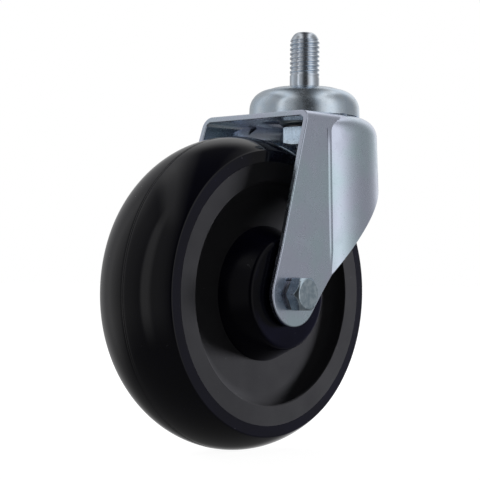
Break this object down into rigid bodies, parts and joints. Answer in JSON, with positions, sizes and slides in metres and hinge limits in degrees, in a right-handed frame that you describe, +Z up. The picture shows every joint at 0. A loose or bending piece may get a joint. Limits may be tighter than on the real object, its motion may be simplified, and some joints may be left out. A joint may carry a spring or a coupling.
{
  "type": "swivel castor",
  "caption": "Swivel castor with a threaded stem, a pressed steel fork with a round back and a wide dark crowned wheel on ball bearings.",
  "frame": {"origin": "on the swivel axis, at the top face of the swivel cap, where the threaded stem leaves it", "axes": "+Z up along the stem and the swivel axis; the wheel trails towards -X; the axle lies along Y, its bolt head at -Y and its nut at +Y"},
  "size_m": [0.135, 0.0792, 0.1747],
  "materials": {
    "zinc_stem": "zinc plated, satin",
    "zinc_cap": "zinc plated, satin",
    "zinc_fork": "zinc plated, satin, with faint lilac and green tints",
    "zinc_nuts": "zinc plated, bright",
    "dark_steel": "plain spring steel",
    "ball_steel": "polished",
    "cage_plastic": "natural nylon",
    "insert_plastic": "blue nylon",
    "tread": "glossy navy black polyurethane",
    "core": "matte dark grey",
    "hub": "glossy navy"
  },
  "bodies": {
    "head": {"stem": "zinc_stem", "swivel_cap": "zinc_cap", "race_cup": "zinc_cap", "lock_washer": "dark_steel", "king_nut": "zinc_nuts"},
    "upper_balls": {"upper_ball_ring": "ball_steel"},
    "lower_balls": {"lower_ball_ring": "ball_steel"},
    "horn": {"fork": "zinc_fork", "axle_sleeve": "zinc_stem", "axle_bolt": "zinc_nuts", "head_washer": "dark_steel", "axle_nut": "zinc_nuts", "nut_insert": "insert_plastic", "inner_rings": "ball_steel"},
    "wheel": {"tread": "tread", "wheel_core": "core", "bearing_housings": "zinc_stem", "hub_cover_near": "hub", "hub_cover_far": "hub", "outer_rings": "ball_steel"},
    "wheel_balls": {"wheel_ball_rings": "ball_steel", "ball_cages": "cage_plastic"}
  },
  "joints": [
    {"name": "swivel", "type": "hinge", "parent": "head", "child": "horn", "pos_m": [0, 0, 0], "axis": [0, 0, 1], "continuous": true},
    {"name": "wheel_spin", "type": "hinge", "parent": "horn", "child": "wheel", "pos_m": [-0.0411, 0, -0.0865], "axis": [0, 1, 0], "continuous": true},
    {"name": "upper_orbit", "type": "hinge", "parent": "head", "child": "upper_balls", "pos_m": [0, 0, 0], "axis": [0, 0, 1], "continuous": true},
    {"name": "lower_orbit", "type": "hinge", "parent": "head", "child": "lower_balls", "pos_m": [0, 0, 0], "axis": [0, 0, 1], "continuous": true},
    {"name": "cage_spin", "type": "hinge", "parent": "horn", "child": "wheel_balls", "pos_m": [-0.0411, 0, -0.0865], "axis": [0, 1, 0], "continuous": true}
  ],
  "couplings": [
    {"joint": "upper_orbit", "follows": "swivel", "ratio": 0.4542},
    {"joint": "lower_orbit", "follows": "swivel", "ratio": 0.5},
    {"joint": "cage_spin", "follows": "wheel_spin", "ratio": 0.597}
  ]
}
